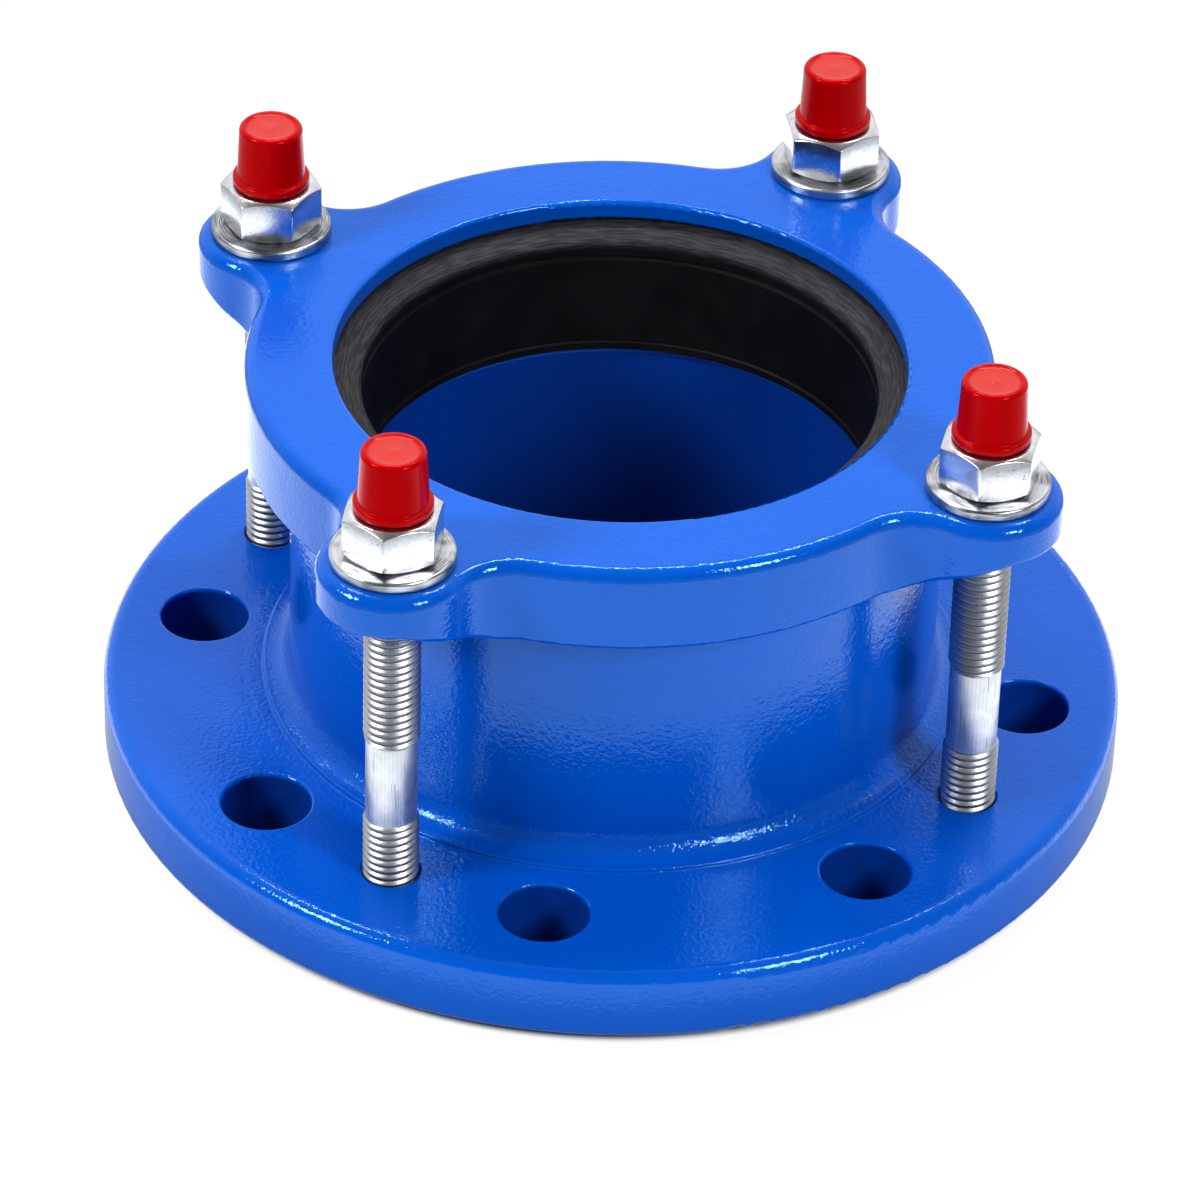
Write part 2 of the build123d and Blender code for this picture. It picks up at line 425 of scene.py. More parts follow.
@dataclass(frozen=True)
class ZincPlate(Finish):
    """Bright zinc plating with pale and dull clouds, small stains and shallow dents."""

    metal: Colour = (0.80, 0.81, 0.83)
    dull_metal: Colour = (0.66, 0.67, 0.70)
    stain: Colour = (0.40, 0.41, 0.44)
    cloud_size: float = 3 * MM
    cloud_detail: float = 3.0
    cloud_from: float = 0.35
    cloud_full: float = 0.65
    stain_size: float = 0.8 * MM
    stain_detail: float = 4.0
    stain_from: float = 0.62
    stain_full: float = 0.74
    dent_size: float = 0.9 * MM
    dent_detail: float = 2.0
    dent_height: float = 0.02 * MM
    gloss: float = 0.20
    gloss_spread: float = 0.12

    def _cloud(self, graph: NodeGraph) -> Wire:
        """Pattern of the pale and dull clouds."""
        return graph.grain(graph.place(), self.cloud_size, self.cloud_detail)

    def _plate(self, graph: NodeGraph) -> Wire:
        """Colour of clean plating."""
        share = self._cloud(graph).fade(self.cloud_from, self.cloud_full)
        return graph.blend(share, self.dull_metal, self.metal)

    def _tone(self, graph: NodeGraph) -> Wire:
        """Colour of the plating with its stains.

        Args:
            graph: The plating's graph.

        Returns:
            The colour.
        """
        stain = graph.grain(graph.place(), self.stain_size, self.stain_detail)
        share = stain.fade(self.stain_from, self.stain_full)
        return graph.blend(share, self._plate(graph), self.stain)

    def _height(self, graph: NodeGraph) -> Wire:
        """Relief of the plating in metres."""
        return graph.grain(graph.place(), self.dent_size, self.dent_detail) * self.dent_height

    def _surface(self, graph: NodeGraph) -> Wire:
        """The material's shader."""
        gloss = self._cloud(graph) * self.gloss_spread + self.gloss
        normal = graph.relief(self._height(graph))
        return graph.principled(
            Base_Color=self._tone(graph), Roughness=gloss, Normal=normal, Metallic=1.0
        )


@dataclass(frozen=True)
class BrushedZinc(ZincPlate):
    """Plating over turned rings, with a painted sheen whose brightness changes round the washer.
    """

    ring_size: float = 0.22 * MM
    ring_detail: float = 2.0
    ring_stretch: float = 0.6 * MM
    ring_height: float = 0.02 * MM
    ring_from: float = 0.3
    ring_full: float = 0.8
    sweep_count: float = 1.7
    sweep_detail: float = 2.0
    sweep_from: float = 0.40
    sweep_full: float = 0.58
    sweep_shift: float = 20.0
    # Darkest tone of the painted sheen that sweeps round each washer.
    dark: Colour = (0.13, 0.14, 0.15)

    def _rings(self, graph: NodeGraph) -> Wire:
        """Fine rings round the washer's axis, broken up along their length.

        Args:
            graph: The plating's graph.

        Returns:
            The pattern, from 0 to 1.
        """
        spot = graph.around(STUD_PLACES)
        where = graph.join(spot.reach, spot.bearing * self.ring_stretch, spot.height)
        return graph.grain(where, self.ring_size, self.ring_detail)

    def _tone(self, graph: NodeGraph) -> Wire:
        """Colour of the plating, with a painted sheen that sweeps from dark to bright in another
        way on each washer.

        Args:
            graph: The plating's graph.

        Returns:
            The colour.
        """
        spot = graph.around(STUD_PLACES)
        x, y, _ = graph.split(graph.place())
        shift = (x + y) * self.sweep_shift
        side = graph.join(spot.bearing.cosine(), spot.bearing.sine(), shift)
        # Painted sheen: dark and bright sectors round each washer.
        sheen_sweep = graph.grain(side, 1 / self.sweep_count, self.sweep_detail)
        tone = graph.blend(sheen_sweep.fade(self.sweep_from, self.sweep_full), self.dark, self.metal)
        worn = self._rings(graph).fade(self.ring_from, self.ring_full)
        return graph.blend(worn, tone, self.dull_metal)

    def _height(self, graph: NodeGraph) -> Wire:
        """Relief of the plating in metres."""
        return self._rings(graph) * self.ring_height


@dataclass(frozen=True)
class ThreadZinc(ZincPlate):
    """Plating on the studs, dull and dark at the roots of their threads, which is painted shade.
    """

    root_r: float = 5.33 * MM
    bright_r: float = 5.40 * MM
    bright_edge: float = 0.02 * MM
    crest_r: float = 5.50 * MM
    streak_width: float = 0.7 * MM
    streak_stretch: float = 0.06
    streak_detail: float = 2.0
    streak_from: float = 0.60
    streak_full: float = 0.68
    streak_metal: Colour = (0.34, 0.36, 0.41)
    # Painted shade in the roots of the threads.
    groove: Colour = (0.14, 0.15, 0.17)
    crest: Colour = (0.44, 0.45, 0.47)

    def _tone(self, graph: NodeGraph) -> Wire:
        """Colour of the plating: streaks on the shank, painted shade in the grooves and dull
        crests.

        Args:
            graph: The plating's graph.

        Returns:
            The colour.
        """
        spot = graph.around(STUD_PLACES)
        side = graph.join(spot.bearing * self.crest_r, 0.0, spot.height * self.streak_stretch)
        streak = graph.grain(side, self.streak_width, self.streak_detail)
        share = streak.fade(self.streak_from, self.streak_full)
        bright = graph.blend(share, self._plate(graph), self.streak_metal)
        to_crest = spot.reach.fade(self.bright_r + self.bright_edge, self.crest_r)
        outer = graph.blend(to_crest, bright, self.crest)
        # The thread roots take the groove colour as painted shade.
        return graph.blend(spot.reach.fade(self.root_r, self.bright_r), self.groove, outer)


@dataclass(frozen=True)
class Rubber(Finish):
    """Black moulded rubber with fine marks that run round the ring; its top bead is paler as
    painted light and its wall below near black as painted shade.
    """

    name: str = "black_rubber"
    black: Colour = (0.003, 0.003, 0.0035)
    bloom: Colour = (0.008, 0.0078, 0.009)
    # Painted light: the top bead is paler than the wall below.
    lit_bead_dim: Colour = (0.016, 0.016, 0.018)
    lit_bead_pale: Colour = (0.040, 0.040, 0.045)
    lit_bead_from: float = 89.5 * MM
    lit_bead_full: float = 91.0 * MM
    cloud_size: float = 12 * MM
    cloud_detail: float = 3.0
    cloud_from: float = 0.35
    cloud_full: float = 0.75
    line_size: float = 0.35 * MM
    line_detail: float = 2.0
    line_height: float = 0.014 * MM
    line_stretch: float = 0.004
    line_from: float = 0.42
    line_full: float = 0.62
    grain_size: float = 0.6 * MM
    grain_height: float = 0.005 * MM
    gloss: float = 0.48
    gloss_spread: float = 0.16
    level: float = 0.16
    index: float = 1.5

    def _surface(self, graph: NodeGraph) -> Wire:
        """The material's shader.

        Args:
            graph: The empty graph.

        Returns:
            The shader.
        """
        place = graph.place()
        x, y, z = graph.split(place)
        radius = (x * x + y * y).root()
        along = y.bearing(x) * self.line_stretch
        lines = graph.grain(graph.join(radius, along, z), self.line_size, self.line_detail)
        cloud = graph.grain(place, self.cloud_size, self.cloud_detail)
        grain = graph.grain(place, self.grain_size)
        bloomed = cloud.fade(self.cloud_from, self.cloud_full)
        wall = graph.blend(bloomed, self.black, self.bloom)
        lined = lines.fade(self.line_from, self.line_full)
        bead = graph.blend(lined, self.lit_bead_dim, self.lit_bead_pale)
        return graph.principled(
            # Painted light and shade: paler on the top bead, near black on the wall below.
            Base_Color=graph.blend(z.fade(self.lit_bead_from, self.lit_bead_full), wall, bead),
            Roughness=cloud * self.gloss_spread + self.gloss,
            Normal=graph.relief(lines * self.line_height + grain * self.grain_height),
            Specular_IOR_Level=self.level,
            IOR=self.index,
        )


@dataclass(frozen=True)
class RedPlastic(Finish):
    """Glossy red polyethylene of the push-on caps, painted paler in the dish on top as painted
    sheen.
    """

    name: str = "red_cap_plastic"
    red: Colour = (0.42, 0.0, 0.002)
    deep_red: Colour = (0.36, 0.0, 0.001)
    # Painted sheen: paler red of the top dish.
    sheen_dish_red: Colour = (0.46, 0.042, 0.035)
    dish_r: float = 5.5 * MM
    dish_edge: float = 0.8 * MM
    dish_low: float = 124.0 * MM
    dish_rise: float = 0.2 * MM
    cloud_size: float = 6 * MM
    cloud_detail: float = 2.0
    ripple_size: float = 1.4 * MM
    ripple_height: float = 0.006 * MM
    gloss: float = 0.14
    gloss_spread: float = 0.08
    shine: Colour = (1.0, 0.1, 0.1)
    index: float = 1.38

    def _surface(self, graph: NodeGraph) -> Wire:
        """The material's shader.

        Args:
            graph: The empty graph.

        Returns:
            The shader.
        """
        place = graph.place()
        cloud = graph.grain(place, self.cloud_size, self.cloud_detail)
        height = graph.grain(place, self.ripple_size) * self.ripple_height
        spot = graph.around(STUD_PLACES)
        crown = spot.height.fade(self.dish_low, self.dish_low + self.dish_rise)
        # Painted sheen: the dish on top is paler.
        dish = spot.reach.fade(self.dish_r, self.dish_r - self.dish_edge) * crown
        plain = graph.blend(cloud, self.deep_red, self.red)
        return graph.principled(
            Base_Color=graph.blend(dish, plain, self.sheen_dish_red),
            Roughness=cloud * self.gloss_spread + self.gloss,
            Normal=graph.relief(height),
            Specular_Tint=self.shine,
            IOR=self.index,
        )


@dataclass(frozen=True)
class StudioPaper(Finish):
    """White sheet on the studio floor, lit from below; its glow stops under the part's rim as
    painted shadow, and a dim ring close round the part is painted shadow that reflections and
    bounce light see.
    """

    name: str = "studio_paper"
    white: Colour = (0.05, 0.05, 0.05)
    shaded_white: Colour = (0.60, 0.60, 0.60)
    glow: Colour = (0.95, 0.95, 0.95)
    bounce: Colour = (1.74, 1.82, 1.90)
    # Painted shadow: dim glow in a ring close round the part, seen in reflections and bounce
    # light.
    painted_shadow_bounce: Colour = (0.52, 0.55, 0.58)
    far_bounce: Colour = (0.46, 0.48, 0.50)
    # Glow under the part: none, a painted shadow.
    dark: Colour = (0.0, 0.0, 0.0)
    glow_r: float = 106.8 * MM
    glow_edge: float = 1.3 * MM
    bounce_r: float = 125.0 * MM
    bounce_edge: float = 3.0 * MM
    far_from: float = 240.0 * MM
    far_full: float = 320.0 * MM
    gloss: float = 0.9
    level: float = 0.1

    def _surface(self, graph: NodeGraph) -> Wire:
        """The material's shader.

        Args:
            graph: The empty graph.

        Returns:
            The shader.
        """
        radius, _ = graph.polar()
        # Painted shadow: the glow stops just inside the rim.
        seen = radius.fade(self.glow_r - self.glow_edge, self.glow_r + self.glow_edge)
        thrown = radius.fade(self.bounce_r - self.bounce_edge, self.bounce_r + self.bounce_edge)
        far = radius.fade(self.far_from, self.far_full)
        first_sight = graph.node("ShaderNodeLightPath", {})["Is Camera Ray"]
        glow = graph.blend(seen, self.dark, self.glow)
        sheet = graph.blend(far, self.bounce, self.far_bounce)
        # Painted shadow for reflections and bounce light: dark under the part, dim in the ring
        # round it.
        bounce = graph.blend(seen, self.dark, graph.blend(thrown, self.painted_shadow_bounce, sheet))
        return graph.principled(
            Base_Color=graph.blend(seen, self.shaded_white, self.white),
            Roughness=self.gloss,
            Specular_IOR_Level=self.level,
            Emission_Color=graph.blend(first_sight, bounce, glow),
            Emission_Strength=1.0,
        )


def clear_selection() -> None:
    """Leave edit mode with nothing selected."""
    if bpy.context.mode != "OBJECT":
        bpy.ops.object.mode_set(mode="OBJECT")
    bpy.ops.object.select_all(action="DESELECT")


def take(piece: Piece) -> None:
    """Select one piece alone and make it active.

    Args:
        piece: The piece.
    """
    clear_selection()
    piece.select_set(True)
    bpy.context.view_layer.objects.active = piece


def draw_outline(name: str, points: Sequence[Point], closed: bool) -> Piece:
    """Draw a line of radius and height points in the plane of X and Z.

    Args:
        name: Name of the new piece.
        points: Radius and height of each point.
        closed: Whether the last point joins the first.

    Returns:
        The piece, in edit mode with all of it selected.
    """
    clear_selection()
    bpy.ops.mesh.primitive_plane_add(size=MM)
    piece = bpy.context.active_object
    piece.name = name
    bpy.ops.object.mode_set(mode="EDIT")
    bpy.ops.mesh.merge(type="CENTER")
    bpy.ops.transform.translate(value=(points[0][0], 0, points[0][1]))
    for before, after in zip(points, points[1:]):
        step = (after[0] - before[0], 0, after[1] - before[1])
        bpy.ops.mesh.extrude_region_move(TRANSFORM_OT_translate={"value": step})
    if closed:
        bpy.ops.object.mode_set(mode="OBJECT")
        piece.data.vertices[0].select = True
        bpy.ops.object.mode_set(mode="EDIT")
        bpy.ops.mesh.edge_face_add()
    bpy.ops.mesh.select_all(action="SELECT")
    return piece


def close_up(piece: Piece, crease: float) -> Piece:
    """Weld a piece's seams, turn its faces outwards and shade it.

    Args:
        piece: The piece.
        crease: Angle in degrees above which an edge stays sharp.

    Returns:
        The piece, in object mode.
    """
    take(piece)
    bpy.ops.object.mode_set(mode="EDIT")
    bpy.ops.mesh.select_all(action="SELECT")
    bpy.ops.mesh.remove_doubles(threshold=WELD)
    bpy.ops.mesh.normals_make_consistent(inside=False)
    bpy.ops.object.mode_set(mode="OBJECT")
    bpy.ops.object.shade_smooth_by_angle(angle=radians(crease))
    return piece


def turned(name: str, points: Sequence[Point], steps: int, crease: float = 40.0) -> Piece:
    """Turn a closed outline about Z.

    Args:
        name: Name of the new piece.
        points: Radius and height of each point of the outline.
        steps: How many faces go round.
        crease: Angle in degrees above which an edge stays sharp.

    Returns:
        The piece.
    """
    piece = draw_outline(name, points, closed=True)
    bpy.ops.mesh.spin(steps=steps, angle=FULL_TURN, center=(0, 0, 0), axis=UP)
    return close_up(piece, crease)


def arc(centre: Point, radius: float, start: float, end: float, count: int) -> list[Point]:
    """Points of an arc in a section.

    Args:
        centre: Radius and height of the arc's centre.
        radius: Radius of the arc.
        start: First angle in degrees, from outwards towards up.
        end: Last angle in degrees.
        count: How many steps it has.

    Returns:
        Its points, ends included.
    """
    angles = [radians(start + (end - start) * k / count) for k in range(count + 1)]
    return [(centre[0] + radius * cos(a), centre[1] + radius * sin(a)) for a in angles]


def fastener_set(master: Piece, kind: str, made: str, turns: Sequence[float]) -> list[Piece]:
    """Put a copy of a master in the place of each packed fastener of one kind.

    A copy's own mesh holds its place and turn, so its object sits at the origin.

    Args:
        master: The piece to copy, which stands on the part's Z axis and is removed.
        kind: Kind of fastener; its nodes are numbered from 1.
        made: Word that the copies' names begin with.
        turns: Turn of each copy about its own axis, in radians.

    Returns:
        The copies, in the order of their nodes.
    """
    copies = []
    for number, turn in enumerate(turns, start=1):
        node = f"{kind}_{number}"
        corner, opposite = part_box(node)
        middle = (corner + opposite) / 2
        take(master)
        bpy.ops.object.duplicate(linked=False)
        copy = bpy.context.active_object
        copy.name = f"{made}_{node}"
        copy.rotation_euler = (0, 0, turn)
        copy.location = (middle.x, middle.y, 0)
        bpy.ops.object.transform_apply(location=True, rotation=True, scale=True)
        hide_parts(node)
        copies.append(copy)
    bpy.data.objects.remove(master)
    return copies


def dress_node(name: str, material: bpy.types.Material) -> None:
    """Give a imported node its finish.

    Args:
        name: Name of the node.
        material: Its material.
    """
    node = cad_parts[name]
    node.data.materials.clear()
    node.data.materials.append(material)
    log.info("%s: %s", name, material.name)


def dress_piece(piece: Piece, material: bpy.types.Material, body: str) -> None:
    """Give a new piece its finish, and the body that it rides on.

    Args:
        piece: The piece.
        material: Its material.
        body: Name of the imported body.
    """
    piece.data.materials.clear()
    piece.data.materials.append(material)
    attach(piece, body)
    log.info("%s: %d faces", piece.name, len(piece.data.polygons))


@dataclass
class Castings:
    """The flange body and the gland ring, which keep their solids and get the coating."""

    nodes: tuple[str, ...] = ("flange_body", "gland_ring")

    def dress(self) -> None:
        """Give both castings the blue coating."""
        coating = BlueCoating().material()
        for name in self.nodes:
            dress_node(name, coating)


@dataclass
class StudSizes:
    """Sizes of one stud, measured along its own axis."""

    pitch: float = 1.75 * MM
    crest_r: float = 5.93 * MM
    root_r: float = 5.32 * MM
    core_inset: float = 0.1 * MM
    profile_steps: int = 10
    shank_r: float = 5.4 * MM
    shank_low: float = 33.7 * MM
    shank_high: float = 53.5 * MM
    runout: float = 0.6 * MM
    end_chamfer: float = 1.0 * MM


@dataclass
class Studs:
    """Four studs whose threads are cut into their meshes."""

    sizes: StudSizes
    steps: int = 40
    spare_turns: int = 3
    crease: float = 35.0
    twist: float = 1.3

    def _thread_outline(self) -> list[Point]:
        """One pitch of the rolled thread's soft profile.

        Returns:
            Radius and height of its points.
        """
        s = self.sizes
        middle, swing = (s.crest_r + s.root_r) / 2, (s.crest_r - s.root_r) / 2
        shares = [k / s.profile_steps for k in range(s.profile_steps + 1)]
        return [(middle - swing * cos(FULL_TURN * share), s.pitch * share) for share in shares]

    def _threaded(self, name: str, low: float, high: float) -> Piece:
        """A threaded rod between two heights.

        Args:
            name: Name of the new piece.
            low: Height of its lower end.
            high: Height of its upper end.

        Returns:
            The rod with flat closed ends.
        """
        s = self.sizes
        piece = draw_outline(name, self._thread_outline(), closed=False)
        bpy.ops.object.mode_set(mode="OBJECT")
        winding = piece.modifiers.new("winding", "SCREW")
        winding.axis = "Z"
        winding.angle = FULL_TURN
        winding.screw_offset = s.pitch
        winding.iterations = int((high - low) / s.pitch) + self.spare_turns
        winding.steps = self.steps
        winding.render_steps = self.steps
        winding.use_merge_vertices = True
        winding.merge_threshold = WELD
        take(piece)
        bpy.ops.object.modifier_apply(modifier="winding")
        piece.location = (0, 0, low - s.pitch * (self.spare_turns / 2))
        bpy.ops.object.transform_apply(location=True, rotation=False, scale=False)
        bpy.ops.object.mode_set(mode="EDIT")
        for height, cut_above in ((low, False), (high, True)):
            bpy.ops.mesh.select_all(action="SELECT")
            bpy.ops.mesh.bisect(
                plane_co=(0, 0, height),
                plane_no=UP,
                use_fill=True,
                clear_inner=not cut_above,
                clear_outer=cut_above,
            )
        return piece

    def _taper(self, piece: Piece, end: float, inwards: float, least: float) -> None:
        """Turn down the crests towards one end.

        Args:
            piece: The threaded rod.
            end: Height of the end.
            inwards: 1 where the rod lies above the end, -1 where it lies below.
            least: Radius at the end itself.
        """
        clear_selection()
        for vertex in piece.data.vertices:
            allowed = least + max(0.0, (vertex.co.z - end) * inwards)
            radius = hypot(vertex.co.x, vertex.co.y)
            if radius > allowed:
                vertex.co.x *= allowed / radius
                vertex.co.y *= allowed / radius

    def _shank(self) -> Piece:
        """The plain middle, whose ends run into the threads.

        Returns:
            The shank.
        """
        s = self.sizes
        core = s.root_r - s.core_inset
        return turned("stud_shank", [
            (0.0, s.shank_low - 2 * s.runout),
            (core, s.shank_low - s.runout),
            (s.shank_r, s.shank_low),
            (s.shank_r, s.shank_high),
            (core, s.shank_high + s.runout),
            (0.0, s.shank_high + 2 * s.runout),
        ], self.steps)

    def build(self) -> list[Piece]:
        """Make the studs in their places.

        Returns:
            The studs.
        """
        s = self.sizes
        low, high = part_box("stud_1")
        end_r = s.crest_r - s.end_chamfer
        lower = self._threaded("stud_lower_thread", low.z, s.shank_low)
        self._taper(lower, low.z, 1, end_r)
        self._taper(lower, s.shank_low, -1, s.shank_r)
        upper = self._threaded("stud_upper_thread", s.shank_high, high.z)
        self._taper(upper, s.shank_high, 1, s.shank_r)
        self._taper(upper, high.z, -1, end_r)
        for thread in (lower, upper):
            close_up(thread, self.crease)
        master = self._shank()
        take(master)
        lower.select_set(True)
        upper.select_set(True)
        bpy.ops.object.join()
        turns = [self.twist * index for index in range(STUD_PLACES.count)]
        return fastener_set(master, "stud", "threaded", turns)

    def dress(self, studs: Sequence[Piece]) -> None:
        """Plate the studs and let them ride on the body.

        Args:
            studs: The studs.
        """
        plating = ThreadZinc(
            "bright_zinc_thread",
            metal=(0.68, 0.69, 0.70),
            dull_metal=(0.58, 0.59, 0.61),
            gloss=0.36,
            dent_height=0.012 * MM,
        ).material()
        for stud in studs:
            dress_piece(stud, plating, "body")


@dataclass
class Caps:
    """Push-on caps over the stud ends, with a rim at the mouth and a shallow dish on top.

    The dish's wall is given as run inwards and drop in millimetres, and the nub's as shares of
    its radius and height.
    """

    bore_r: float = 6.1 * MM
    side_foot_r: float = 7.3 * MM
    side_foot_slope: float = 5.0
    side_top_r: float = 6.8 * MM
    side_top_slope: float = 4.0
    rim_r: float = 8.25 * MM
    rim_height: float = 1.8 * MM
    rim_round: float = 0.55 * MM
    foot_round: float = 0.3 * MM
    blend: float = 0.35 * MM
    edge_round: float = 1.05 * MM
    dish_wall: tuple[Point, ...] = (
        (0.15, 0.03), (0.40, 0.15), (0.75, 0.33), (1.30, 0.41), (2.20, 0.45)
    )
    nub_r: float = 0.95 * MM
    nub_height: float = 0.30 * MM
    nub_wall: tuple[Point, ...] = ((1.0, 0.0), (0.6, 0.25), (0.3, 0.85), (0.0, 1.0))
    steps: int = 72
    crease: float = 50.0

    def _outline(self, foot: float, top: float, ceiling: float) -> list[Point]:
        """Section of a cap.

        Args:
            foot: Height of its mouth.
            top: Height of its crown.
            ceiling: Height of the stud's end, on which the cap sits.

        Returns:
            Radius and height of the section's points.
        """
        ledge = foot + self.rim_height
        toe = (self.rim_r - self.foot_round, foot + self.foot_round)
        rim = (self.rim_r - self.rim_round, ledge - self.rim_round)
        root = (self.side_foot_r + self.blend, ledge + self.blend)
        edge = (self.side_top_r - self.edge_round, top - self.edge_round)
        lip = edge[0]
        floor = top - self.dish_wall[-1][1] * MM
        return [
            (self.bore_r, foot),
            *arc(toe, self.foot_round, -90, 0, count=4),
            *arc(rim, self.rim_round, 0, 90, count=6),
            *arc(root, self.blend, 270, 180 + self.side_foot_slope, count=5),
            *arc(edge, self.edge_round, self.side_top_slope, 90, count=10),
            *((lip - run * MM, top - drop * MM) for run, drop in self.dish_wall),
            *((self.nub_r * out, floor + self.nub_height * up) for out, up in self.nub_wall),
            (0.0, ceiling),
            (self.bore_r, ceiling),
        ]

    def build(self) -> list[Piece]:
        """Make the caps in their places.

        Returns:
            The caps.
        """
        low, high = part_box("cap_1")
        outline = self._outline(low.z, high.z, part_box("stud_1")[1].z)
        master = turned("cap_master", outline, self.steps, self.crease)
        return fastener_set(master, "cap", "moulded", [0.0] * STUD_PLACES.count)

    def dress(self, caps: Sequence[Piece]) -> None:
        """Give the caps their plastic, and let each ride on its own body.

        Args:
            caps: The caps.
        """
        plastic = RedPlastic().material()
        for number, cap in enumerate(caps, start=1):
            dress_piece(cap, plastic, f"cap_{number}")


@dataclass
class Nuts:
    """Hexagon nuts with a turned chamfer on both faces and softened corners.

    Half a side is the angle from its middle to its corner.
    """

    turns: tuple[float, ...] = (24.7, 43.2, 7.2, 2.7)
    half_side: float = 30.0
    flat_r: float = 9.5 * MM
    bore_r: float = 6.0 * MM
    bore_chamfer: float = 0.5 * MM
    face_inset: float = 0.5 * MM
    chamfer: float = 30.0
    corner_round: float = 0.30 * MM
    corner_steps: int = 3
    edge_round: float = 0.10 * MM
    edge_steps: int = 2
    edge_angle: float = 25.0
    crease: float = 30.0
    overcut: float = 1.0 * MM
    steps: int = 120

    def _barrel(self, foot: float, top: float) -> Piece:
        """Turned ring that gives the nut its chamfers and its bore.

        Args:
            foot: Height of its lower face.
            top: Height of its upper face.

        Returns:
            The ring.
        """
        outer = self.flat_r / cos(radians(self.half_side)) + self.overcut
        face = self.flat_r - self.face_inset
        rise = (outer - face) * tan(radians(self.chamfer))
        return turned("nut_master", [
            (self.bore_r + self.bore_chamfer, foot),
            (face, foot),
            (outer, foot + rise),
            (outer, top - rise),
            (face, top),
            (self.bore_r + self.bore_chamfer, top),
            (self.bore_r, top - self.bore_chamfer),
            (self.bore_r, foot + self.bore_chamfer),
        ], self.steps)

    def _hexagon(self, foot: float, top: float) -> Piece:
        """Hexagon bar whose long edges are rounded.

        Args:
            foot: Height of the nut's lower face, which the bar passes.
            top: Height of its upper face.

        Returns:
            The bar.
        """
        clear_selection()
        bpy.ops.mesh.primitive_cylinder_add(
            vertices=6,
            radius=self.flat_r / cos(radians(self.half_side)),
            depth=top - foot + 2 * self.overcut,
            location=(0, 0, (foot + top) / 2),
        )
        bar = bpy.context.active_object
        bpy.ops.object.transform_apply(location=True, rotation=True, scale=True)
        bpy.ops.object.mode_set(mode="EDIT")
        bpy.ops.mesh.select_all(action="DESELECT")
        bpy.ops.object.mode_set(mode="OBJECT")
        for edge in bar.data.edges:
            ends = [bar.data.vertices[k].co for k in edge.vertices]
            edge.select = abs(ends[0].z - ends[1].z) > WELD
        bpy.ops.object.mode_set(mode="EDIT")
        bpy.ops.mesh.select_mode(type="EDGE")
        bpy.ops.mesh.bevel(offset=self.corner_round, segments=self.corner_steps)
        bpy.ops.mesh.select_mode(type="VERT")
        bpy.ops.object.mode_set(mode="OBJECT")
        return bar

    def build(self) -> list[Piece]:
        """Make the nuts in their places.

        Returns:
            The nuts.
        """
        low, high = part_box("nut_1")
        master = self._barrel(low.z, high.z)
        bar = self._hexagon(low.z, high.z)
        take(master)
        cut = master.modifiers.new("hexagon", "BOOLEAN")
        cut.operation = "INTERSECT"
        cut.solver = "EXACT"
        cut.object = bar
        bpy.ops.object.modifier_apply(modifier="hexagon")
        bpy.data.objects.remove(bar)
        soften = master.modifiers.new("soften", "BEVEL")
        soften.width = self.edge_round
        soften.segments = self.edge_steps
        soften.limit_method = "ANGLE"
        soften.angle_limit = radians(self.edge_angle)
        take(master)
        bpy.ops.object.modifier_apply(modifier="soften")
        close_up(master, self.crease)
        turns = [radians(turn + self.half_side) for turn in self.turns]
        return fastener_set(master, "nut", "hexagon", turns)

    def dress(self, nuts: Sequence[Piece]) -> None:
        """Plate the nuts, and let each ride on its own body.

        Args:
            nuts: The nuts.
        """
        plating = ZincPlate(
            "bright_zinc_nut",
            metal=(0.72, 0.72, 0.74),
            dull_metal=(0.62, 0.62, 0.65),
            stain=(0.34, 0.34, 0.37),
        ).material()
        for number, nut in enumerate(nuts, start=1):
            dress_piece(nut, plating, f"nut_{number}")


@dataclass
class Washers:
    """Washers, which keep their solids."""

    metal: Colour = (0.50, 0.51, 0.53)
    gloss: float = 0.26

    def dress(self) -> None:
        """Give each its brushed plating."""
        brushed = BrushedZinc("bright_zinc_washer", metal=self.metal, gloss=self.gloss).material()
        for number in range(1, STUD_PLACES.count + 1):
            dress_node(f"washer_{number}", brushed)


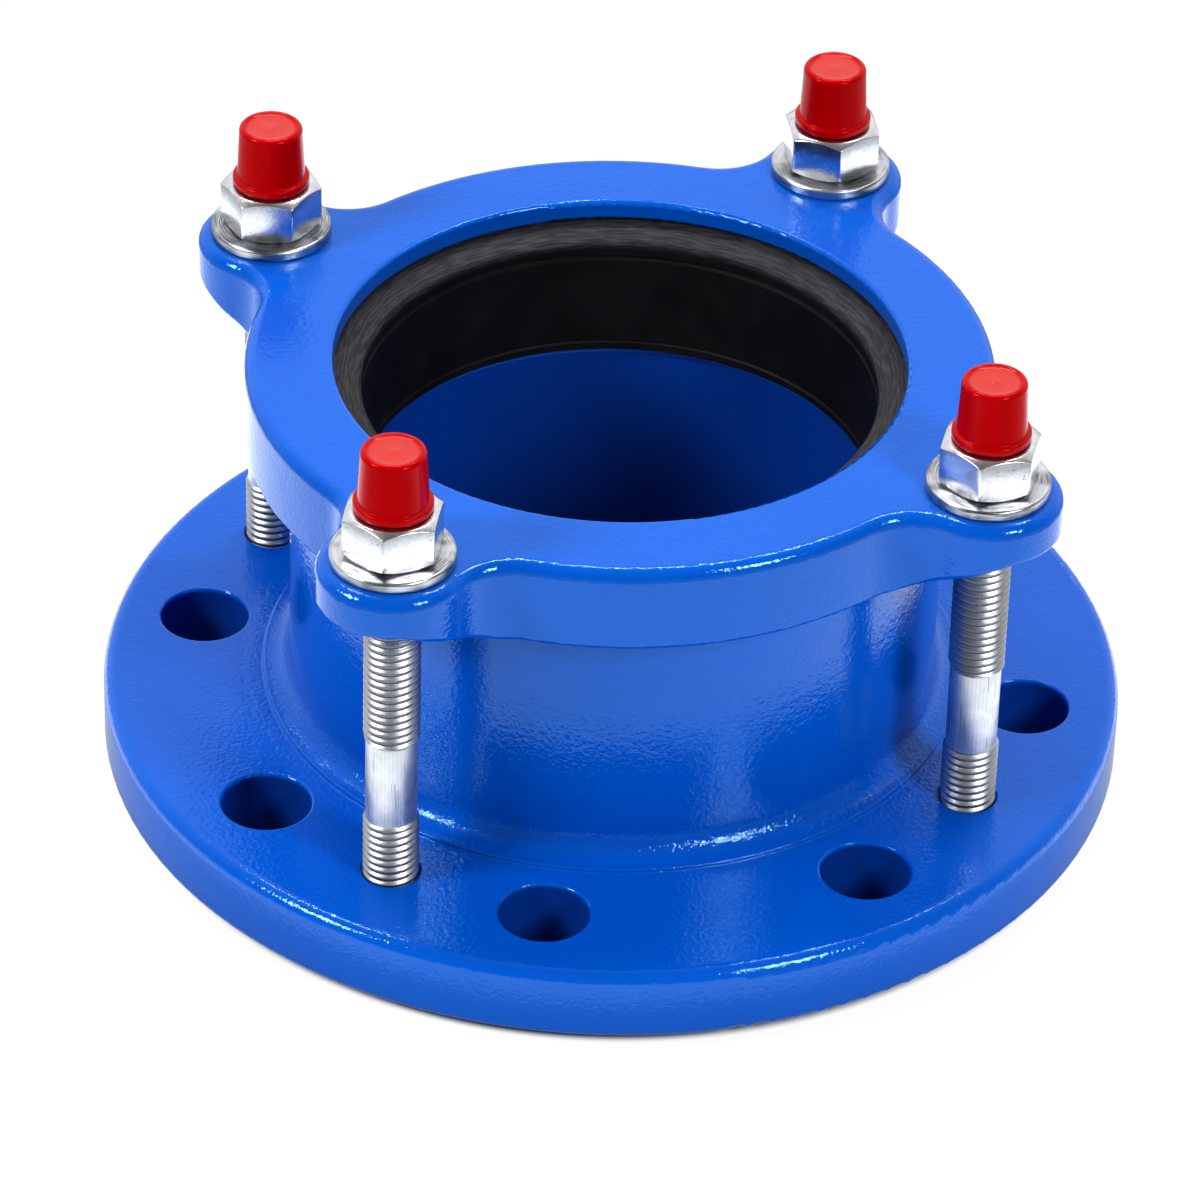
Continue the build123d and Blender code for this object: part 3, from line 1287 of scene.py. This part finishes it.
@dataclass
class GasketRing:
    """The rubber ring: a wedge in the bell's cone, a head under the gland's lip and a bead.

    The groove's flank is given as shares of its depth and half its width.
    """

    bore_r: float = 54.6 * MM
    foot_r: float = 57.83 * MM
    wedge_r: float = 65.81 * MM
    head_foot: float = 82.3 * MM
    lip_r: float = 60.5 * MM
    bead_inset: float = 3.6 * MM
    bead_drop: float = 0.6 * MM
    bead_round: float = 1.4 * MM
    bead_lean: float = 10.0
    edge_round: float = 0.9 * MM
    groove_drop: float = 5.6 * MM
    groove_width: float = 1.2 * MM
    groove_depth: float = 0.8 * MM
    groove_flank: Point = (0.7, 0.4)
    foot_band: float = 2.3 * MM
    foot_groove: float = 0.4 * MM
    squash_anchor: float = 63.5 * MM
    squash_keep: float = 0.7635
    steps: int = 160
    crease: float = 35.0

    def _bore_wall(self, foot: float, top: float) -> list[Point]:
        """Section of the wall that faces the pipe, from the bead down.

        Args:
            foot: Height of the ring's foot.
            top: Height of its head.

        Returns:
            Radius and height of the section's points.
        """
        groove = top - self.groove_drop
        half = self.groove_width / 2
        flank_r = self.bore_r + self.groove_depth * self.groove_flank[0]
        flank = half * self.groove_flank[1]
        band = foot + self.foot_band
        nip = self.foot_groove
        return [
            (self.bore_r, groove + half),
            (flank_r, groove + flank),
            (self.bore_r + self.groove_depth, groove),
            (flank_r, groove - flank),
            (self.bore_r, groove - half),
            (self.bore_r, band + nip),
            (self.bore_r + nip, band),
            (self.bore_r, band - nip),
            (self.bore_r, foot + nip),
            (self.bore_r + nip, foot),
        ]

    def build(self) -> Piece:
        """Turn the ring from its section.

        Returns:
            The ring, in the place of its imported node.
        """
        low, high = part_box("gasket")
        foot, top = low.z, high.z
        rounded = self.edge_round
        corner_r = high.x - rounded
        bead_top = top - self.bead_drop
        bead = (self.bore_r + self.bead_round, bead_top - self.bead_drop - self.bead_round)
        outline = [
            (self.foot_r, foot),
            (self.wedge_r, self.head_foot),
            *arc((corner_r, self.head_foot + rounded), rounded, -90, 0, count=4),
            *arc((corner_r, top - rounded), rounded, 0, 90, count=4),
            (self.lip_r, top),
            (self.bore_r + self.bead_inset - rounded, bead_top),
            *arc(bead, self.bead_round, 90 + self.bead_lean, 180, count=8),
            *self._bore_wall(foot, top),
        ]
        ring = turned("rubber_gasket", outline, self.steps, self.crease)
        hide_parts("gasket")
        return ring

    def dress(self, ring: Piece) -> None:
        """Give the ring its rubber, and let it ride on the body.

        Args:
            ring: The ring.
        """
        dress_piece(ring, Rubber().material(), "body")
        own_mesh(ring)


@dataclass(frozen=True)
class ViewPoint:
    """The camera: where it stands, how it is aimed, and its lens."""

    azimuth: float = -14.585
    elevation: float = 36.552
    distance: float = 1.518111
    aim_height: float = 3.0 * MM
    pan: float = 0.111
    tilt: float = -0.978
    roll: float = 1.708
    lens: float = 208.54
    sensor: float = 36.0

    def place(self) -> None:
        """Put the camera in the scene."""
        angle = radians(self.elevation)
        ahead = Vector((0, cos(angle), -sin(angle)))
        across = Vector((1, 0, 0))
        aim = (
            Matrix.Rotation(radians(self.roll), 3, "Z")
            @ Matrix.Rotation(radians(self.tilt), 3, "X")
            @ Matrix.Rotation(radians(self.pan), 3, "Y")
        )
        axes = aim @ Matrix((across, ahead.cross(across), ahead))
        turn = Matrix.Rotation(radians(self.azimuth), 3, "Z")
        right, down, forward = (turn @ row for row in axes)
        stand = turn @ (-ahead * self.distance) + Vector((0, 0, self.aim_height))
        camera = bpy.data.objects.new("studio_camera", bpy.data.cameras.new("studio_camera"))
        camera.data.lens = self.lens
        camera.data.sensor_width = self.sensor
        rotation = Matrix((right, -down, -forward)).transposed()
        camera.matrix_world = Matrix.Translation(stand) @ rotation.to_4x4()
        bpy.context.scene.collection.objects.link(camera)
        bpy.context.scene.camera = camera


@dataclass(frozen=True)
class SoftBox:
    """A lamp behind white cloth; its bearing is in degrees from the camera's."""

    name: str
    bearing: float
    height: float
    width: float
    length: float
    radiance: float
    distance: float = 1.6

    def hang(self, aim: Vector, front: float) -> None:
        """Put the lamp in the scene.

        Args:
            aim: The point that it faces.
            front: The camera's bearing in degrees.
        """
        turn, rise = radians(front + self.bearing), radians(self.height)
        towards = Vector((sin(turn) * cos(rise), -cos(turn) * cos(rise), sin(rise)))
        lamp = bpy.data.lights.new(self.name, "AREA")
        lamp.shape = "RECTANGLE"
        lamp.size = self.width
        lamp.size_y = self.length
        lamp.energy = self.radiance * pi * self.width * self.length
        holder = bpy.data.objects.new(self.name, lamp)
        holder.location = aim + towards * self.distance
        holder.rotation_euler = towards.to_track_quat("Z", "Y").to_euler()
        bpy.context.scene.collection.objects.link(holder)


SOFT_BOXES = (
    SoftBox("right_soft_box", bearing=43, height=34, width=0.36, length=0.45, radiance=33.0),
    SoftBox("left_soft_box", bearing=-68, height=38, width=0.40, length=0.45, radiance=33.0),
    SoftBox("back_soft_box", bearing=180, height=67, width=1.40, length=0.10, radiance=40.0),
)


@dataclass
class Studio:
    """Pale floor, soft boxes, the light of the room and the picture's tone."""

    view: ViewPoint
    boxes: tuple[SoftBox, ...] = SOFT_BOXES
    floor_size: float = 12.0
    room_dim: float = 0.15
    room_bright: float = 1.1
    bright_from: float = -0.2
    bright_full: float = 0.7
    aim_height: float = 0.06
    gamma: float = 0.9

    def _light_room(self, graph: NodeGraph) -> None:
        """Light the room: bright behind the part, dim behind the camera.

        Args:
            graph: The world's graph.
        """
        x, y, _ = graph.split(graph.node("ShaderNodeTexCoord", {})["Generated"])
        turn = radians(self.view.azimuth)
        away = y * cos(turn) - x * sin(turn)
        bright = away.fade(self.bright_from, self.bright_full)
        strength = bright * (self.room_bright - self.room_dim) + self.room_dim
        inputs = {"Color": (1.0, 1.0, 1.0), "Strength": strength}
        light = graph.node("ShaderNodeBackground", inputs)["Background"]
        graph.node("ShaderNodeOutputWorld", {"Surface": light})

    def build(self) -> None:
        """Set the floor, the lights and the camera."""
        clear_selection()
        bpy.ops.mesh.primitive_plane_add(size=self.floor_size)
        floor = bpy.context.active_object
        floor.name = "studio_floor"
        floor.data.materials.append(StudioPaper().material())
        scene = bpy.context.scene
        world = bpy.data.worlds.new("studio_room")
        world.use_nodes = True
        self._light_room(NodeGraph(world.node_tree))
        scene.world = world
        for box in self.boxes:
            box.hang(Vector((0, 0, self.aim_height)), self.view.azimuth)
        self.view.place()
        scene.view_settings.view_transform = "Standard"
        scene.view_settings.look = "None"
        scene.view_settings.gamma = self.gamma
        log.info("studio: %d soft boxes", len(self.boxes))


def main() -> None:
    """Dress the castings and washers, make the other pieces, and set the studio."""
    logging.basicConfig(level=logging.INFO, format="%(name)s: %(message)s")
    Castings().dress()
    Washers().dress()
    studs = Studs(StudSizes())
    studs.dress(studs.build())
    nuts = Nuts()
    nuts.dress(nuts.build())
    caps = Caps()
    caps.dress(caps.build())
    gasket = GasketRing()
    gasket.dress(gasket.build())
    Studio(ViewPoint()).build()


if __name__ == "__main__":
    main()
